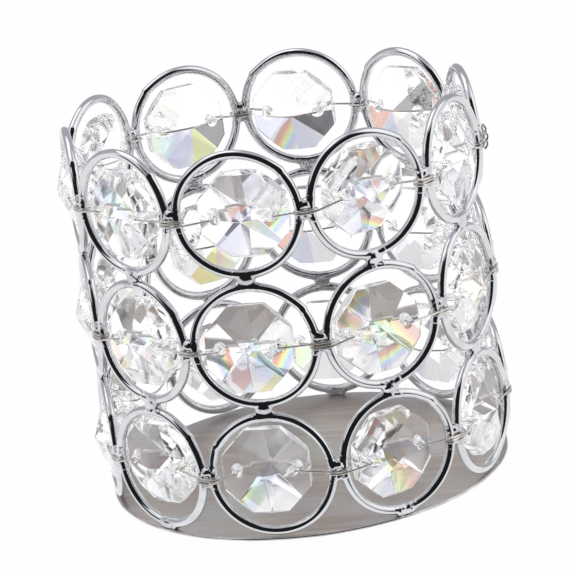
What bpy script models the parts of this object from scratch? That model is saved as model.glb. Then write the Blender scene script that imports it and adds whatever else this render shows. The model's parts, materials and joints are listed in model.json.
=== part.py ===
"""Crystal candlestick: three tiers of ten chromed wire rings, each ring holding a glass bead.

The rings are welded into a ten-sided drum on a round steel plate. A binding wire runs round each
tier. It is wrapped round every joint between two rings, goes in through one hole of each bead,
crosses behind the bead and comes out of its other hole, so that the bead can rock on the wire.

Metres, +Z up. The origin is at the middle of the plate's underside and the first column faces -Y.
"""

import math

import bmesh
import bpy
import numpy as np
from mathutils import Matrix, Vector

# How many rings there are
COLUMN_COUNT = 10
TIER_NAMES = ("bottom", "middle", "top")

# The glass bead: an eight-sided blank with a low pyramid cut on both faces
BEAD_SIDES = 8
BEAD_ACROSS_FLATS = 0.0140
BEAD_THICKNESS = 0.0070
BEAD_RIM = 0.0024
BORE_SPACING = 0.0095
BORE_DIAMETER = 0.0014
BORE_SIDES = 6

# The wire ring round a bead, and how far the bead's corners stand in from it
RING_WIRE = 0.0015
BEAD_PLAY = 0.00142
BEAD_INSET = 0.0006
RING_STEPS = 20
RING_WIRE_SIDES = 6

# How the rings stand to one another, to the plate, and the metal of their welds
SIDE_GAP = 0.00034
TIER_GAP = 0.00061
SEAT_GAP = 0.0003
WELD_PARTING = 0.0003
WELD_THICKNESS = 0.0012
SIDE_WELD_HEIGHT = 0.0034
TIER_WELD_WIDTH = 0.0030
TIER_WELD_WAIST = 0.0017
TIER_WELD_ROWS = 3
FOOT_WIDTH = 0.0034
FOOT_TOP_WIDTH = 0.0027

# The base plate, flush with the outside of the rings
PLATE_THICKNESS = 0.0005
PLATE_EDGE = 0.00018
PLATE_STEPS = 50

# The binding wire
BINDING_WIRE = 0.00035
BEAD_CLEARANCE = 0.0003
WRAP_CLEARANCE = 0.0002
WRAP_TURNS = 1
WRAP_PITCH = 0.0009
WRAP_END_STEPS = 3
WRAP_LEAD = 0.0007
TWIST_RISE = 0.00145
TWIST_LENGTH = 0.0042
TWIST_TURNS = 1.5
TWIST_STEPS = 9
TWIST_STANDOFF = 0.0023
TWIST_GAP = 0.00055

# How near two points of a mesh count as one
MERGE_DISTANCE = 0.000001

# How each bead hangs, column by column from the front and then to the right: its slide along
# the wire and its lift as shares of the play, and its turn about X and Z in degrees. A turn
# about X of more than 0 faces the bead down, and one about Z of more than 0 faces it right.
RESTS = {
    "bottom": (
        (-0.65, 0.42, -2, 0),
        (-0.55, 0.10, 2, 6),
        (0.00, 0.15, -4, 0),
        (0.30, -0.20, 5, -3),
        (-0.35, 0.10, -3, 4),
        (0.40, 0.00, 6, -2),
        (0.00, -0.25, -5, 3),
        (-0.30, 0.20, 3, -4),
        (0.20, 0.00, -2, 2),
        (-0.25, 0.65, 4, 3),
    ),
    "middle": (
        (-0.70, -0.30, -7, 0),
        (-0.40, -0.35, -3, -3),
        (0.00, 0.00, 4, 2),
        (0.30, 0.15, -5, 0),
        (-0.20, -0.20, 6, 3),
        (0.45, 0.10, -3, -4),
        (-0.40, 0.00, 2, 4),
        (0.15, -0.15, -6, 0),
        (-0.10, 0.10, 3, -2),
        (-0.20, 0.00, -5, 3),
    ),
    "top": (
        (0.70, 0.00, 8, 0),
        (-0.15, 0.60, 9, 6),
        (0.10, 0.05, -3, -3),
        (0.20, -0.10, -4, 2),
        (-0.35, 0.05, 5, 4),
        (0.70, -0.25, -5, -3),
        (0.45, 0.00, 6, 0),
        (0.00, -0.20, -3, 3),
        (0.15, 0.15, 3, 0),
        (-0.30, -0.20, -4, -4),
    ),
}

# The joint, counted like the columns, where the two ends of each tier's wire are twisted together
TWIST_JOINTS = {"bottom": 6, "middle": 6, "top": 2}

# What follows from those sizes
COLUMN_ANGLE = math.tau / COLUMN_COUNT
MITRE = COLUMN_ANGLE / 2
BEAD_CORNER_RADIUS = BEAD_ACROSS_FLATS / 2 / math.cos(math.pi / BEAD_SIDES)
RING_INNER_RADIUS = BEAD_CORNER_RADIUS + BEAD_PLAY
RING_RADIUS = RING_INNER_RADIUS + RING_WIRE / 2
RING_OUTER_RADIUS = RING_INNER_RADIUS + RING_WIRE
TO_CORNER = (RING_WIRE + SIDE_GAP) / 2 / math.cos(MITRE)
HALF_SIDE = RING_RADIUS + TO_CORNER
DRUM_APOTHEM = HALF_SIDE / math.tan(MITRE)
DRUM_CORNER = DRUM_APOTHEM / math.cos(MITRE)
TIER_PITCH = 2 * RING_OUTER_RADIUS + TIER_GAP
FIRST_TIER_HEIGHT = PLATE_THICKNESS + SEAT_GAP + RING_OUTER_RADIUS
PLATE_RADIUS = DRUM_APOTHEM + RING_WIRE / 2
FACE_SLOPE = (BEAD_THICKNESS - BEAD_RIM) / BEAD_ACROSS_FLATS
WRAP_ACROSS = (RING_WIRE + SIDE_GAP) / 2
WRAP_DEPTH = TO_CORNER * math.sin(MITRE)
WRAP_REACH = (RING_WIRE / 2 + BINDING_WIRE / 2 + WRAP_CLEARANCE) / math.cos(math.pi / WRAP_END_STEPS / 2)
WIRE_LIFT = (BINDING_WIRE / 2 + BEAD_CLEARANCE) * math.hypot(1, FACE_SLOPE)


def clear_scene():
    """Remove every object of the scene."""
    for old in list(bpy.data.objects):
        bpy.data.objects.remove(old, do_unlink=True)


def new_collection(name):
    """Add an empty collection to the scene."""
    collection = bpy.data.collections.new(name)
    bpy.context.scene.collection.children.link(collection)
    return collection


def new_material(name, colour, roughness, metallic, transmission=0.0):
    """Make a Principled material."""
    material = bpy.data.materials.new(name)
    material.use_nodes = True
    shader = material.node_tree.nodes["Principled BSDF"]
    shader.inputs["Base Color"].default_value = (*colour, 1.0)
    shader.inputs["Roughness"].default_value = roughness
    shader.inputs["Metallic"].default_value = metallic
    shader.inputs["Transmission Weight"].default_value = transmission
    return material


def add_part(name, data, material, collection):
    """Add a named object for a mesh or a curve, with one material."""
    part = bpy.data.objects.new(name, data)
    if not data.materials:
        data.materials.append(material)
    collection.objects.link(part)
    return part


def shade(mesh, angle_degrees=40):
    """Shade a mesh smooth with sharp edges where its faces meet steeply."""
    mesh.shade_smooth()
    mesh.set_sharp_from_angle(angle=math.radians(angle_degrees))


def bead_face_height(distance):
    """How far a bead's face stands out at a distance from its middle towards a flat."""
    return BEAD_THICKNESS / 2 - FACE_SLOPE * distance


def station(column, tier):
    """The frame of one ring: X along the drum's side, Y inwards and Z up."""
    height = FIRST_TIER_HEIGHT + tier * TIER_PITCH
    return Matrix.Rotation(column * COLUMN_ANGLE, 4, "Z") @ Matrix.Translation((0, -DRUM_APOTHEM, height))


def joint(column, tier):
    """The frame of the joint between a column and the next: X across it, Y inwards and Z up."""
    height = FIRST_TIER_HEIGHT + tier * TIER_PITCH
    turn = Matrix.Rotation((column + 0.5) * COLUMN_ANGLE, 4, "Z")
    return turn @ Matrix.Translation((0, -DRUM_CORNER, height))


def bead_frame(column, tier):
    """The frame of one bead as it hangs: X through both bores' middles and -Y out of its face."""
    rests = RESTS[TIER_NAMES[tier]]
    slide, lift, pitch, yaw = rests[column % len(rests)]
    offset = Matrix.Translation((slide * BEAD_PLAY, BEAD_INSET, lift * BEAD_PLAY))
    turned = Matrix.Rotation(math.radians(yaw), 4, "Z") @ Matrix.Rotation(math.radians(pitch), 4, "X")
    return station(column, tier) @ offset @ turned


def evaluated_mesh(source, name):
    """Make a mesh of an object with its modifiers applied."""
    bpy.context.view_layer.update()
    graph = bpy.context.evaluated_depsgraph_get()
    mesh = bpy.data.meshes.new_from_object(source.evaluated_get(graph))
    mesh.name = name
    return mesh


def combine(base, others, operation, name):
    """Join or cut an object with others, remove them all and return the mesh."""
    for other in others:
        step = base.modifiers.new(other.name, "BOOLEAN")
        step.operation = operation
        step.solver = "EXACT"
        step.object = other
    mesh = evaluated_mesh(base, name)
    for used in (base, *others):
        bpy.data.objects.remove(used, do_unlink=True)
    return mesh


def mesh_from(bm, name):
    """Turn a bmesh into a mesh with its faces pointing out."""
    bmesh.ops.recalc_face_normals(bm, faces=bm.faces[:])
    mesh = bpy.data.meshes.new(name)
    bm.to_mesh(mesh)
    bm.free()
    return mesh


def block(name, outline, thickness, collection):
    """Extrude an outline, given as X and Z, to both sides of Y = 0."""
    bm = bmesh.new()
    points = [bm.verts.new((x, -thickness / 2, z)) for x, z in outline]
    face = bm.faces.new(points)
    extruded = bmesh.ops.extrude_face_region(bm, geom=[face])
    moved = [item for item in extruded["geom"] if isinstance(item, bmesh.types.BMVert)]
    bmesh.ops.translate(bm, verts=moved, vec=(0, thickness, 0))
    piece = bpy.data.objects.new(name, mesh_from(bm, name))
    collection.objects.link(piece)
    return piece


def ring_loop(name, height, collection):
    """One ring of round wire, standing in the XZ plane."""
    bpy.ops.mesh.primitive_torus_add(
        major_radius=RING_RADIUS,
        minor_radius=RING_WIRE / 2,
        major_segments=RING_STEPS,
        minor_segments=RING_WIRE_SIDES,
        rotation=(math.pi / 2, 0, 0),
    )
    ring = bpy.context.object
    ring.name = name
    ring.data.transform(Matrix.Translation((0, 0, height)) @ ring.matrix_world)
    ring.matrix_world = Matrix.Identity(4)
    for holder in list(ring.users_collection):
        holder.objects.unlink(ring)
    collection.objects.link(ring)
    return ring


def side_weld(name, height, side, collection):
    """The half of the weld between two columns that belongs to this one, mitred at the corner."""
    half = SIDE_WELD_HEIGHT / 2
    start = RING_RADIUS
    end = HALF_SIDE + WELD_THICKNESS
    outline = ((start, height - half), (end, height - half), (end, height + half), (start, height + half))
    weld = block(name, outline, WELD_THICKNESS, collection)
    bm = bmesh.new()
    bm.from_mesh(weld.data)
    cut = bmesh.ops.bisect_plane(
        bm,
        geom=bm.verts[:] + bm.edges[:] + bm.faces[:],
        dist=MERGE_DISTANCE,
        plane_co=(HALF_SIDE - WELD_PARTING / 2 / math.cos(MITRE), 0, 0),
        plane_no=(math.cos(MITRE), math.sin(MITRE), 0),
        clear_outer=True,
    )
    rim = [item for item in cut["geom_cut"] if isinstance(item, bmesh.types.BMEdge)]
    bmesh.ops.edgeloop_fill(bm, edges=rim)
    if side < 0:
        bmesh.ops.scale(bm, vec=(-1, 1, 1), verts=bm.verts[:])
    bmesh.ops.recalc_face_normals(bm, faces=bm.faces[:])
    bm.to_mesh(weld.data)
    bm.free()
    return weld


def tier_weld(name, height, collection):
    """The waisted weld between two rings of a column, its middle at this height."""
    reach = TIER_GAP / 2 + RING_WIRE / 2
    rows = [2 * row / TIER_WELD_ROWS - 1 for row in range(TIER_WELD_ROWS + 1)]
    spread = TIER_WELD_WIDTH - TIER_WELD_WAIST
    right = [((TIER_WELD_WAIST + spread * row * row) / 2, height + reach * row) for row in rows]
    left = [(-x, z) for x, z in reversed(right)]
    return block(name, right + left, WELD_THICKNESS, collection)


def foot_weld(name, collection):
    """The flat foot where a column is welded down to the plate."""
    half = FOOT_WIDTH / 2
    sole = -RING_OUTER_RADIUS
    top = sole + RING_WIRE / 2
    half_top = FOOT_TOP_WIDTH / 2
    outline = ((-half, sole), (half, sole), (half_top, top), (-half_top, top))
    return block(name, outline, WELD_THICKNESS, collection)


def column_mesh(name, with_foot, collection):
    """Three rings welded in a row, about the middle of the lowest, with their side welds."""
    heights = [tier * TIER_PITCH for tier in range(len(TIER_NAMES))]
    rings = [ring_loop(f"ring_{tier}", height, collection) for tier, height in enumerate(heights)]
    welds = []
    for tier, height in enumerate(heights):
        welds += [side_weld(f"side_{tier}_{side}", height, side, collection) for side in (-1, 1)]
    for tier, height in enumerate(heights[1:]):
        welds.append(tier_weld(f"tier_{tier}", height - TIER_PITCH / 2, collection))
    if with_foot:
        welds.append(foot_weld("foot", collection))
    mesh = combine(rings[0], rings[1:] + welds, "UNION", name)
    shade(mesh)
    return mesh


def make_columns(metal, parts, workshop):
    """Place ten columns of rings round the drum. Every second one stands on a welded foot."""
    plain = column_mesh("ring_column", False, workshop)
    footed = column_mesh("ring_column_footed", True, workshop)
    for column in range(COLUMN_COUNT):
        mesh = footed if column % 2 else plain
        part = add_part(f"ring_column_{column + 1:02d}", mesh, metal, parts)
        part.matrix_world = station(column, 0)


def bead_mesh(collection):
    """The bead: a hull over both peaks and the rim's points, with two bores along Y."""
    apothem = BEAD_ACROSS_FLATS / 2
    step = math.tau / BEAD_SIDES
    drop = FACE_SLOPE * apothem / math.cos(step / 2) ** 2
    corner_height = BEAD_THICKNESS / 2 - drop
    bm = bmesh.new()
    for side in (-1, 1):
        bm.verts.new((0, side * BEAD_THICKNESS / 2, 0))
        for index in range(BEAD_SIDES):
            middle = index * step
            corner = middle + step / 2
            flat = Vector((math.cos(middle), 0, math.sin(middle))) * apothem
            peak = Vector((math.cos(corner), 0, math.sin(corner))) * BEAD_CORNER_RADIUS
            bm.verts.new(flat + Vector((0, side * BEAD_RIM / 2, 0)))
            bm.verts.new(peak + Vector((0, side * corner_height, 0)))
    bmesh.ops.convex_hull(bm, input=bm.verts[:])
    bmesh.ops.dissolve_limit(bm, angle_limit=math.radians(1), verts=bm.verts[:], edges=bm.edges[:])
    blank = bpy.data.objects.new("bead_blank", mesh_from(bm, "bead_blank"))
    collection.objects.link(blank)
    bores = [bore_cutter(f"bore_{side}", side, collection) for side in (-1, 1)]
    return combine(blank, bores, "DIFFERENCE", "bead")


def bore_cutter(name, side, collection):
    """A round cutter for one bore of the bead, right through it along Y."""
    bm = bmesh.new()
    bmesh.ops.create_cone(
        bm,
        cap_ends=True,
        segments=BORE_SIDES,
        radius1=BORE_DIAMETER / 2,
        radius2=BORE_DIAMETER / 2,
        depth=2 * BEAD_THICKNESS,
        matrix=Matrix.Translation((side * BORE_SPACING / 2, 0, 0)) @ Matrix.Rotation(math.pi / 2, 4, "X"),
    )
    cutter = bpy.data.objects.new(name, mesh_from(bm, name))
    cutter.hide_render = True
    cutter.display_type = "WIRE"
    collection.objects.link(cutter)
    return cutter


def make_beads(glass, parts, workshop):
    """Hang a bead in every ring, each with its origin on the line that it rocks about."""
    mesh = bead_mesh(workshop)
    for tier, tier_name in enumerate(TIER_NAMES):
        for column in range(COLUMN_COUNT):
            part = add_part(f"bead_{tier_name}_{column + 1:02d}", mesh, glass, parts)
            part.matrix_world = bead_frame(column, tier)


def bead_route():
    """The wire's points through one bead, from left to right, in the bead's own frame."""
    half = BORE_SPACING / 2
    bend = BEAD_CLEARANCE
    left = [
        (-half - bend, -(bead_face_height(half + bend) + WIRE_LIFT)),
        (-half, -bead_face_height(half)),
        (-half, bead_face_height(half)),
        (-half + bend, bead_face_height(half - bend) + WIRE_LIFT),
    ]
    back = [(0.0, bead_face_height(0.0) + WIRE_LIFT)]
    right = [(-x, y) for x, y in reversed(left)]
    return [Vector((x, y, 0.0)) for x, y in left + back + right]


def wrap_end(side):
    """The wire's points round one end of a joint, from its outside to its inside if side is 1."""
    chord = math.pi / WRAP_END_STEPS
    points = []
    for step in range(WRAP_END_STEPS + 1):
        angle = side * (step * chord - math.pi / 2)
        across = WRAP_ACROSS + WRAP_REACH * math.cos(angle)
        points.append((side * across, WRAP_DEPTH + WRAP_REACH * math.sin(angle)))
    return points


def wrap_guide(side, height):
    """The point beside a joint where its wrap starts or ends, over the rim of a bead."""
    across = WRAP_ACROSS + WRAP_REACH + WRAP_LEAD
    return Vector((side * across, WRAP_DEPTH - WRAP_REACH, height))


def wrap_route(to_twist):
    """The wire's points round one joint, from its outer left, in the joint's own frame.

    A wrap falls and ends at the next bead. The last one of a tier climbs to the twisted ends.
    """
    loop = wrap_end(1) + wrap_end(-1)
    turns = loop * WRAP_TURNS
    flat = loop[-1:] + (turns[:-1] if to_twist else turns + loop[:1])
    climb = WRAP_PITCH * WRAP_TURNS * (1 if to_twist else -1)
    last = len(flat) - 1
    wrap = [Vector((x, y, climb * (index / last - 0.5))) for index, (x, y) in enumerate(flat)]
    guides_after = [] if to_twist else [wrap_guide(1, climb / 2)]
    return [wrap_guide(-1, -climb / 2)] + wrap + guides_after


def twist_route(phase):
    """One wire end of a twisted pair, from its root above the joint down to its tip."""
    radius = (BINDING_WIRE + TWIST_GAP) / 2
    points = []
    for step in range(TWIST_STEPS + 1):
        share = step / TWIST_STEPS
        angle = phase + share * TWIST_TURNS * math.tau
        across = radius * math.cos(angle)
        out = TWIST_STANDOFF + radius * math.sin(angle)
        points.append(Vector((across, -out, TWIST_RISE - share * TWIST_LENGTH)))
    tip = (points[-1] - points[-2]).normalized() * BINDING_WIRE
    return points + [points[-1] + tip]


def wire_points(tier):
    """The whole route of one tier's wire, from one twisted end round the drum to the other."""
    start = TWIST_JOINTS[TIER_NAMES[tier]] % COLUMN_COUNT
    first = twist_route(0.0)[::-1] + [wrap_guide(1, WRAP_PITCH * WRAP_TURNS / 2)]
    points = [joint(start, tier) @ point for point in first]
    for step in range(1, COLUMN_COUNT + 1):
        column = (start + step) % COLUMN_COUNT
        points += [bead_frame(column, tier) @ point for point in bead_route()]
        if step < COLUMN_COUNT:
            points += [joint(column, tier) @ point for point in wrap_route(False)]
    points += [joint(start, tier) @ point for point in wrap_route(True)]
    points += [joint(start, tier) @ point for point in twist_route(math.pi)]
    return points


def least_gap(points, diameter, apart=8, fineness=2):
    """The least gap of a wire to itself, between points that lie some diameters apart along it."""
    spacing = diameter / fineness
    line = [points[0]]
    for start, end in zip(points, points[1:]):
        pieces = max(1, math.ceil((end - start).length / spacing))
        line += [start.lerp(end, piece / pieces) for piece in range(1, pieces + 1)]
    path = np.array(line)
    along = np.concatenate([[0.0], np.cumsum(np.linalg.norm(np.diff(path, axis=0), axis=1))])
    least = math.inf
    for index, point in enumerate(path):
        far = along > along[index] + apart * diameter
        if far.any():
            least = min(least, float(np.linalg.norm(path[far] - point, axis=1).min()))
    return least - diameter


def make_wires(metal, parts):
    """Run a binding wire round every tier and print its least gap to itself."""
    for tier, tier_name in enumerate(TIER_NAMES):
        points = wire_points(tier)
        curve = bpy.data.curves.new(f"binding_wire_{tier_name}", "CURVE")
        curve.dimensions = "3D"
        curve.bevel_depth = BINDING_WIRE / 2
        curve.bevel_resolution = 0
        curve.use_fill_caps = True
        spline = curve.splines.new("POLY")
        spline.points.add(len(points) - 1)
        for place, point in zip(spline.points, points):
            place.co = (*point, 1.0)
        add_part(f"binding_wire_{tier_name}", curve, metal, parts)
        print(f"binding_wire_{tier_name}: least gap to itself {least_gap(points, BINDING_WIRE) * 1000:.3f} mm")


def make_plate(steel, parts):
    """Turn the thin base plate, its edge broken top and bottom."""
    inner = PLATE_RADIUS - PLATE_EDGE
    profile = [
        (0.0, PLATE_THICKNESS),
        (inner, PLATE_THICKNESS),
        (PLATE_RADIUS, PLATE_THICKNESS - PLATE_EDGE),
        (PLATE_RADIUS, PLATE_EDGE),
        (inner, 0.0),
        (0.0, 0.0),
    ]
    bm = bmesh.new()
    line = [bm.verts.new((x, 0, z)) for x, z in profile]
    for start, end in zip(line, line[1:]):
        bm.edges.new((start, end))
    mesh = bpy.data.meshes.new("base_plate")
    bm.to_mesh(mesh)
    bm.free()
    part = add_part("base_plate", mesh, steel, parts)
    screw = part.modifiers.new("turn", "SCREW")
    screw.steps = PLATE_STEPS
    screw.render_steps = PLATE_STEPS
    screw.use_merge_vertices = True
    screw.merge_threshold = MERGE_DISTANCE
    screw.use_smooth_shade = False


def main():
    """Build the candlestick."""
    clear_scene()
    parts = new_collection("crystal_candlestick")
    workshop = new_collection("cutters")
    chrome = new_material("chromed_wire", (0.78, 0.79, 0.81), 0.06, 1.0)
    steel = new_material("brushed_steel", (0.52, 0.49, 0.48), 0.34, 1.0)
    wire = new_material("binding_wire", (0.62, 0.60, 0.58), 0.22, 1.0)
    glass = new_material("clear_glass", (0.97, 0.98, 1.0), 0.02, 0.0, 0.9)
    make_plate(steel, parts)
    make_columns(chrome, parts, workshop)
    make_beads(glass, parts, workshop)
    make_wires(wire, parts)


main()
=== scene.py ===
"""The looks of a crystal candlestick: chromed wire rings, glass octagons, binding wires and a plate.

Metres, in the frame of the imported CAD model. Every CAD node is replaced by a finer piece in the
same place: the rings get fused welds and butt seams, the octagons their ground facets and bores,
and the wires their tight wraps and twisted ends.
"""

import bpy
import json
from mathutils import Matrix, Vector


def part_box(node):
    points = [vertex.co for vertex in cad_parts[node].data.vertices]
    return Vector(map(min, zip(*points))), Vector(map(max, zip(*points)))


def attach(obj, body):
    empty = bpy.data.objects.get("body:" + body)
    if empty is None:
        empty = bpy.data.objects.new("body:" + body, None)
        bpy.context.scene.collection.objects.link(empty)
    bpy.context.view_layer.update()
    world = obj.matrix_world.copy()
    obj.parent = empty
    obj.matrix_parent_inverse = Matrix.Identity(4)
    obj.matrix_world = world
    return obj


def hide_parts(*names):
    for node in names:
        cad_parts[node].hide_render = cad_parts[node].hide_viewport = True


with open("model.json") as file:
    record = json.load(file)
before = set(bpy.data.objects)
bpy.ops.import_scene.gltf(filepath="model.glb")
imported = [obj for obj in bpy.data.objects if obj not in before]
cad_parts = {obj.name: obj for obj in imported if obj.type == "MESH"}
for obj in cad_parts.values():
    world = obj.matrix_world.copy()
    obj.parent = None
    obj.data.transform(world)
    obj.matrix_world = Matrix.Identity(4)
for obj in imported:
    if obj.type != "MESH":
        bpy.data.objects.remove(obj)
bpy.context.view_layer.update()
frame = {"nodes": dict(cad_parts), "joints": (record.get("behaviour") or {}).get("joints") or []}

import json
import logging
import math
import random
from dataclasses import dataclass, field
from enum import Enum
from functools import cache, cached_property
from typing import Iterable, Sequence

import bmesh
import bpy
from mathutils import Matrix, Vector, noise

log = logging.getLogger("candlestick")

Triple = tuple[float, float, float]
Colour = Triple
BMesh = bmesh.types.BMesh
Material = bpy.types.Material
Mesh = bpy.types.Mesh
Node = bpy.types.Node
NodeTree = bpy.types.NodeTree
Object = bpy.types.Object
Socket = bpy.types.NodeSocket

Inputs = dict[str | int, object]

ORIGIN = (0.0, 0.0, 0.0)
BLACK = (0.0, 0.0, 0.0)
WHITE = (1.0, 1.0, 1.0)

# The CAD body that holds everything but the beads
DRUM = "drum"
# How often light may bounce from ring to ring or inside the glass
LIGHT_BOUNCES = 6
# How near two points of a mesh count as one
SAME_POINT = 1e-7
# Where a Mix node has the colours that it takes and the one that it puts out
MIX_FIRST, MIX_SECOND, MIX_RESULT = 6, 7, 2


class Tier(Enum):
    """The three tiers of rings, by their height above the plate."""

    BOTTOM = 0
    MIDDLE = 1
    TOP = 2

    def bead_node(self, column: int) -> str:
        """The name of the CAD node of this tier's bead in a column."""
        return f"bead_{self.name.lower()}_{column + 1:02d}"


class Slot(Enum):
    """The record's material slots."""

    RING = "chromed_wire"
    PLATE = "plate_steel"
    WIRE = "binding_wire"
    BEAD = "bead_glass"


@dataclass(frozen=True)
class DrumSizes:
    """The driving sizes of the drum, as the CAD source has them."""

    columns: int = 10
    bead_sides: int = 8
    bead_flats: float = 0.0140
    bead_thickness: float = 0.0070
    bead_rim: float = 0.0024
    bead_play: float = 0.00142
    bore_spacing: float = 0.0095
    bore_diameter: float = 0.0014
    ring_wire: float = 0.0015
    side_gap: float = 0.00034
    tier_gap: float = 0.00061
    seat_gap: float = 0.0003
    plate_thickness: float = 0.0005
    binding_wire: float = 0.00035

    @property
    def side_angle(self) -> float:
        """The angle between two corners of a bead."""
        return math.tau / self.bead_sides

    @property
    def bead_corner(self) -> float:
        """The distance from a bead's middle to its corners."""
        return self.bead_flats / 2 / math.cos(self.side_angle / 2)

    @property
    def face_slope(self) -> float:
        """How much lower a bead's face lies for each metre from its middle towards a flat."""
        return (self.bead_thickness - self.bead_rim) / self.bead_flats

    @property
    def ring_radius(self) -> float:
        """The radius of the ring's own centre line."""
        return self.bead_corner + self.bead_play + self.ring_wire / 2

    @property
    def column_angle(self) -> float:
        """The angle between two columns of rings."""
        return math.tau / self.columns

    @property
    def across_joint(self) -> float:
        """The distance between the wires' centre lines at a joint between two rings."""
        return self.ring_wire + self.side_gap

    @property
    def to_corner(self) -> float:
        """The distance from a ring's centre line to the drum's corner beside it."""
        return self.across_joint / 2 / math.cos(self.column_angle / 2)

    @property
    def joint_depth(self) -> float:
        """How far the wires at a joint lie inside the drum's corner."""
        return self.to_corner * math.sin(self.column_angle / 2)

    @property
    def apothem(self) -> float:
        """The distance from the drum's axis to the middle of a side."""
        return (self.ring_radius + self.to_corner) / math.tan(self.column_angle / 2)

    @property
    def corner(self) -> float:
        """The distance from the drum's axis to a corner of it."""
        return self.apothem / math.cos(self.column_angle / 2)

    @property
    def tier_pitch(self) -> float:
        """The height from one tier of rings to the next."""
        return 2 * self.ring_radius + self.ring_wire + self.tier_gap

    def face_height(self, distance: float) -> float:
        """How far a bead's face stands out at a distance from its middle towards a flat."""
        return self.bead_thickness / 2 - self.face_slope * distance

    def tier_height(self, tier: Tier) -> float:
        """The height of the middles of one tier's rings."""
        first = self.plate_thickness + self.seat_gap + self.ring_radius + self.ring_wire / 2
        return first + tier.value * self.tier_pitch

    def around(self, columns: float, distance: float, tier: Tier) -> Matrix:
        """The frame some columns to the right of the front, with Y towards the axis and Z up."""
        turn = Matrix.Rotation(columns * self.column_angle, 4, "Z")
        return turn @ Matrix.Translation((0, -distance, self.tier_height(tier)))

    def station(self, column: int, tier: Tier) -> Matrix:
        """The frame of one ring, with its middle as the origin."""
        return self.around(column, self.apothem, tier)

    def joint(self, column: int, tier: Tier) -> Matrix:
        """The frame of the joint between a column's ring and the next one."""
        return self.around(column + 0.5, self.corner, tier)


SIZES = DrumSizes()


def axes_frame(across: Vector, inwards: Vector, above: Vector, origin: Vector) -> Matrix:
    """The frame that has these vectors as its X, Y and Z axes."""
    return Matrix([*zip(across, inwards, above, origin), (0, 0, 0, 1)])


def sized(centre: Triple, size: Triple) -> Matrix:
    """The matrix that gives a shape of one metre its middle and its sizes along the axes."""
    return Matrix.Translation(centre) @ Matrix.Diagonal((*size, 1.0))


def add_object(name: str, data: bpy.types.ID, materials: Sequence[Material] = ()) -> Object:
    """Add an object to the scene, at the origin.

    Args:
        name: The object's name.
        data: Its mesh, curve, camera or lamp.
        materials: Its materials, in the order of its faces' indices.

    Returns:
        The object.
    """
    for material in materials:
        data.materials.append(material)
    added = bpy.data.objects.new(name, data)
    bpy.context.scene.collection.objects.link(added)
    return added


def mesh_from(bm: BMesh, name: str) -> Mesh:
    """Turn a bmesh into a mesh and free it.

    Args:
        bm: The bmesh.
        name: The mesh's name.

    Returns:
        The mesh.
    """
    mesh = bpy.data.meshes.new(name)
    bm.to_mesh(mesh)
    bm.free()
    return mesh


def applied(source: Object, name: str) -> Mesh:
    """Apply an object's modifiers and remove the object.

    Args:
        source: The object.
        name: The name of the new mesh.

    Returns:
        The mesh, without materials.
    """
    bpy.context.view_layer.update()
    graph = bpy.context.evaluated_depsgraph_get()
    mesh = bpy.data.meshes.new_from_object(source.evaluated_get(graph))
    mesh.name = name
    mesh.materials.clear()
    bpy.data.objects.remove(source, do_unlink=True)
    return mesh


def absorb(bm: BMesh, mesh: Mesh, place: Matrix) -> None:
    """Take a mesh into a bmesh and remove it.

    Args:
        bm: The bmesh.
        mesh: The mesh.
        place: Where it goes.
    """
    mesh.transform(place)
    bm.from_mesh(mesh)
    bpy.data.meshes.remove(mesh)


def lathe(bm: BMesh, axis: Triple, steps: int, section: Iterable[Triple] = ()) -> None:
    """Turn a section right round an axis through the origin.

    Args:
        bm: The bmesh, which holds the section already if none is given.
        axis: The axis.
        steps: How many steps there are in the whole turn.
        section: The points of an open section, in order.
    """
    line = [bm.verts.new(point) for point in section]
    for pair in zip(line, line[1:]):
        bm.edges.new(pair)
    whole = bm.verts[:] + bm.edges[:]
    bmesh.ops.spin(bm, geom=whole, cent=ORIGIN, axis=axis, angle=math.tau, steps=steps, use_merge=True)
    bmesh.ops.remove_doubles(bm, verts=bm.verts[:], dist=SAME_POINT)
    bmesh.ops.recalc_face_normals(bm, faces=bm.faces[:])


def dress(piece: Object, body: str, nodes: Iterable[str]) -> None:
    """Put a finished piece in the place of CAD nodes.

    Args:
        piece: The piece, at the origin.
        body: The CAD body that it rides on.
        nodes: The CAD nodes that it stands for.
    """
    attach(piece, body)
    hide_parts(*nodes)
    log.info("%s: %d faces, on %s", piece.name, len(piece.data.polygons), body)


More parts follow.
